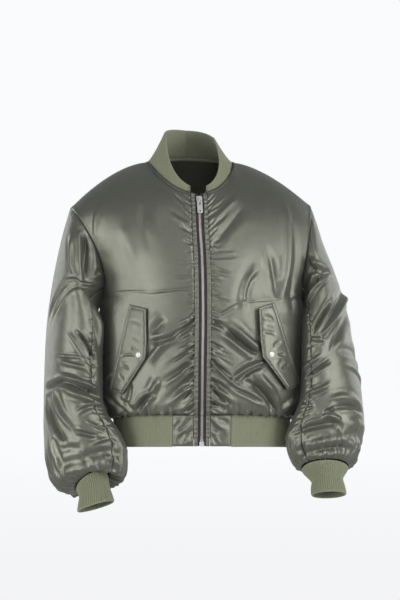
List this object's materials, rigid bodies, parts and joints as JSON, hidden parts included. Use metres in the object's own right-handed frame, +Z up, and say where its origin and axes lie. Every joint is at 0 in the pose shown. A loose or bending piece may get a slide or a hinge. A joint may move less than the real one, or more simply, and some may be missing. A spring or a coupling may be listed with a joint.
{
  "type": "bomber jacket",
  "caption": "Padded satin bomber jacket, zipped shut and filled out as worn, with ribbed collar, cuffs and hem band, slanted flap pockets and hanging sleeves.",
  "frame": {"origin": "centre of the neck opening, level with the tops of the shoulders, where the wearer carries the jacket", "axes": "+Z up the wearer, -Y out of the jacket's front, +X to the wearer's left"},
  "size_m": [0.6837, 0.346, 0.8177],
  "materials": {
    "olive_satin": "padded satin-weave nylon with a strong soft sheen",
    "sage_rib_knit": "matt fine rib knit",
    "dark_zip_tape": "matt woven tape",
    "nickel": "lightly brushed nickel plate"
  },
  "bodies": {
    "jacket": {"back": "olive_satin", "collar": "sage_rib_knit", "cuff_left": "sage_rib_knit", "cuff_right": "sage_rib_knit", "front_left": "olive_satin", "front_right": "olive_satin", "hem_band": "sage_rib_knit", "hem_tab_left": "olive_satin", "hem_tab_right": "olive_satin", "neck_binding": "olive_satin", "placket_left": "olive_satin", "placket_right": "olive_satin", "pocket_flap_left": "olive_satin", "pocket_flap_right": "olive_satin", "pocket_welt_left": "olive_satin", "pocket_welt_right": "olive_satin", "sleeve_under_left": "olive_satin", "sleeve_under_right": "olive_satin", "sleeve_upper_left": "olive_satin", "sleeve_upper_right": "olive_satin", "snap_left": "nickel", "snap_right": "nickel", "zip_box": "nickel", "zip_slider": "nickel", "zip_tape_left": "dark_zip_tape", "zip_tape_right": "dark_zip_tape", "zip_teeth_left": "nickel", "zip_teeth_right": "nickel"},
    "pull_tab": {"pull_tab": "nickel"}
  },
  "joints": [
    {"name": "pull_tab_swing", "type": "hinge", "parent": "jacket", "child": "pull_tab", "pos_m": [0.01849, -0.12214, -0.09085], "axis": [-0.9871, -0.159, 0.0194], "range_deg": [0, 170]}
  ]
}
